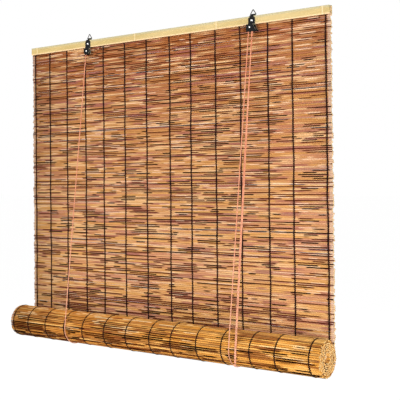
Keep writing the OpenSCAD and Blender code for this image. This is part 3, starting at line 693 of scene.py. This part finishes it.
# Roll: the lower part of the same mat, wound up from the bottom round a flat slat. Its outer turn
# is the mat's clean golden back, and its sawn reed ends make a pale spiral on both sides.
roll_half = 506 * mm
roll_slip = 4 * mm
thread_slip = 7 * mm
core_mid_r = 12 * mm
turn_pitch = 4.9 * mm
roll_turns = (roll_mid_r - core_mid_r) / turn_pitch
roll_reeds = round(math.pi * (roll_mid_r + core_mid_r) * roll_turns / reed_pitch)


def on_roll(share, out):
    """Y and Z of a point on the spiral, by its share of the rolled length, and its outward way."""
    reach = math.sqrt((1 - share) * roll_mid_r ** 2 + share * core_mid_r ** 2)
    angle = 2 * math.pi * (roll_mid_r - reach) / turn_pitch
    way = np.array([math.cos(angle), -math.sin(angle)])
    return np.array([roll_y, roll_z]) + (reach + out) * way, way


# On the roll, dim is painted shade: darker towards the left end.
rolled_finish = reed_skin(
    "rolled_reed_skin", dashes=0.510, length=6, tips=0.6, shine=0.65,
    sparse=lambda x: x.between(0.1, 0.5),
    dim=lambda x: x.between(0.4, -0.2) * 0.5,
    plain=paint(210, 146, 64), rose=paint(176, 128, 70), deep=paint(166, 94, 38),
    pale=paint(230, 176, 98), stain=paint(112, 48, 26), light=paint(240, 202, 148),
    slit_shade=paint(66, 16, 1), slit_shadow=paint(30, 6, 1),
)
outer_reeds = 50
outer_slack = 1.4 * mm


def fuller(i):
    """How far the outer turn stands off the one under it, so that the sling lies close to it."""
    return outer_slack * math.sin(math.pi * min(i / outer_reeds, 1)) ** 0.6


rolled = []
for i in range(roll_reeds):
    middle, way = on_roll((i + 0.5) / roll_reeds, fuller(i) + chance.uniform(-0.2, 0.2) * mm)
    thick = reed_d * chance.uniform(0.92, 1.03)
    wide, uneven = (0.96, 0.4 * mm) if i < outer_reeds else (1.25, mm)
    start = -roll_slip - roll_half + chance.uniform(-2, 1) * uneven
    end = -roll_slip + roll_half + chance.uniform(-1, 2) * uneven
    rolled.append(lay_reed(start, end, middle, way, thick, bow_by(reed_bow), wide))
roll = make_piece("reed_roll_reeds", rolled, "reed", [rolled_finish, cut_finish], "roll")
saw_ends(roll)
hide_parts("reed_roll")

# The roll's weight presses its threads closer to the reeds than on the hanging mat
pressed = 0.7
roll_thread_r = 0.9 * thread_r


def round_roll(step, out):
    """Y and Z of a point on the roll, by its step in reeds and its way out from the reeds."""
    return on_roll((step + 0.5) / roll_reeds, pressed * out + fuller(step))[0]


roll_steps = np.arange(0.5, outer_reeds, steps_apart)
roll_strands = [strand for place_x in thread_places
                for strand in twine(place_x - roll_slip - thread_slip, roll_steps,
                                    round_roll, roll_thread_r)]
roll_threads = make_piece("roll_threads_twine", roll_strands, "cord", [thread_finish], "roll")
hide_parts("roll_threads")


# Hangers: straps and covers pressed from 1.5 mm sheet and stove-enamelled black. A rolled eye on
# top holds the ring, and a screw through both strips clamps strap, strips and mat together.
enamel_finish, shade = new_finish("black_enamel", Specular_IOR_Level=0.1)
peel = shade.grain(700, 2.0)
rub = shade.grain(160, 4.0, 0.65)
outward = shade.node("ShaderNodeTexCoord", {}, {}, "Normal")
highlight_side = shade.node("ShaderNodeSeparateXYZ", {}, {0: outward})
coat = (rub.between(0.6, 0.75) * 0.5).mix(paint(4, 4, 5), paint(28, 28, 30))
# Painted highlight: faces that look along +X are paler.
(highlight_side.between(0.6, 0.8) * 0.8).mix(coat, paint(150, 148, 128)).feed("Base Color")
(0.42 + rub * 0.3).feed("Roughness")
(peel * 0.6 + rub * 0.4).bump(0.00015).feed("Normal")
dress(enamel_finish, "left_strap", "right_strap", "left_pulley_cover", "right_lock_cover",
      "left_ring", "right_ring", "guide_pin", "cam_rivet")
dress(steel_finish, "left_screw", "right_screw", "left_axle", "right_axle")


# Sheaves and lock cam: turned nylon wheels on the rivets, and a die-cast zinc cam whose teeth
# bite the pull cords against the guide pin.
nylon_finish, shade = new_finish("white_nylon", Roughness=0.4, Subsurface_Weight=0.15)
rubbed = shade.grain(500, 3.0)
rubbed.between(0.45, 0.7).mix(paint(240, 238, 230), paint(214, 206, 190)).feed("Base Color")
(0.32 + rubbed * 0.25).feed("Roughness")
rubbed.bump(0.00008).feed("Normal")
dress(nylon_finish, "left_sheave", "right_rear_sheave", "right_front_sheave")

zinc_finish, shade = new_finish("cast_zinc", Metallic=1.0, Roughness=0.45)
cast = shade.grain(1500, 4.0)
cast.mix(paint(70, 70, 72), paint(112, 112, 114)).feed("Base Color")
(0.34 + cast * 0.3).feed("Roughness")
cast.bump(0.0001).feed("Normal")
dress(zinc_finish, "lock_cam")


# Screw eyes: bent from brassed steel wire, with a thread rolled on. They are turned into the back
# strip from below, behind the mat, and the back cords are tied to them.
brass_finish, shade = new_finish("brassed_steel", Metallic=1.0, Roughness=0.3)
tarnish = shade.grain(900, 3.0)
tarnish.between(0.4, 0.7).mix(paint(226, 196, 120), paint(168, 134, 70)).feed("Base Color")
(0.2 + tarnish * 0.3).feed("Roughness")
dress(brass_finish, "left_cord_eye", "right_cord_eye")


# Studio: a white room with a large soft lamp over the camera's left shoulder, one on the right and
# one behind. The floor lies well below the roll, since the blind hangs, and keeps its shadow.
def lamp(name, place, aim, size, watts):
    """A round soft lamp at a place, aimed at another."""
    data = bpy.data.lights.new(name, "AREA")
    data.shape, data.size, data.energy = "DISK", size, watts
    made = bpy.data.objects.new(name, data)
    turn = (Vector(aim) - Vector(place)).to_track_quat("-Z", "Y")
    made.matrix_world = Matrix.Translation(place) @ turn.to_matrix().to_4x4()
    bpy.context.scene.collection.objects.link(made)


lamp("key_lamp", (-1.2, -2.3, 1.3), (-0.35, 0, -0.45), 1.6, 70)
lamp("side_lamp", (2.3, -1.5, -0.7), (0.2, 0, -0.65), 1.4, 52)
lamp("back_lamp", (-0.9, 2.6, 0.5), (0, 0, -0.45), 2.0, 45)

world = bpy.data.worlds.new("white_room")
world.use_nodes = True
bpy.context.scene.world = world
room = Shade(world.node_tree)
room_light = 0.55
floor_z = -1.25
floor_size = 80
floor_white = 0.9
floor_glow = 1.045


def white_to(shade):
    """1 for what the camera sees at once or in shiny things, and 0 for the light on things."""
    ray = shade.node("ShaderNodeLightPath", {}, {}, "Is Camera Ray")
    shiny = shade.maths("MAXIMUM", ray.beside("Is Glossy Ray"), ray.beside("Is Transmission Ray"))
    return shade.maths("MAXIMUM", ray, shiny)


world.node_tree.nodes["Background"].inputs["Color"].default_value = (1, 1, 1, 1)
world.node_tree.links.new((white_to(room) * (1 - room_light) + room_light).socket,
                          world.node_tree.nodes["Background"].inputs["Strength"])

floor_finish, shade = new_finish("pale_floor", Base_Color=(0.9, 0.9, 0.9, 1), Roughness=0.9)
seen = white_to(shade)
glow = shade.node("ShaderNodeEmission", {}, {"Color": (1, 1, 1, 1), "Strength": floor_glow})
lit = Shade(shade.tree, shade.tree.nodes["Principled BSDF"].outputs[0])
floor_shader = shade.node("ShaderNodeMixShader", {}, {0: seen * floor_white, 1: lit, 2: glow})
shade.tree.links.new(floor_shader.socket, shade.tree.nodes["Material Output"].inputs["Surface"])
bpy.ops.object.select_all(action="DESELECT")
bpy.ops.mesh.primitive_plane_add(size=floor_size, location=(0, 0, floor_z))
floor = bpy.context.object
floor.name = "floor"
floor.data.materials.append(floor_finish)

bpy.context.scene.view_settings.view_transform = "Standard"
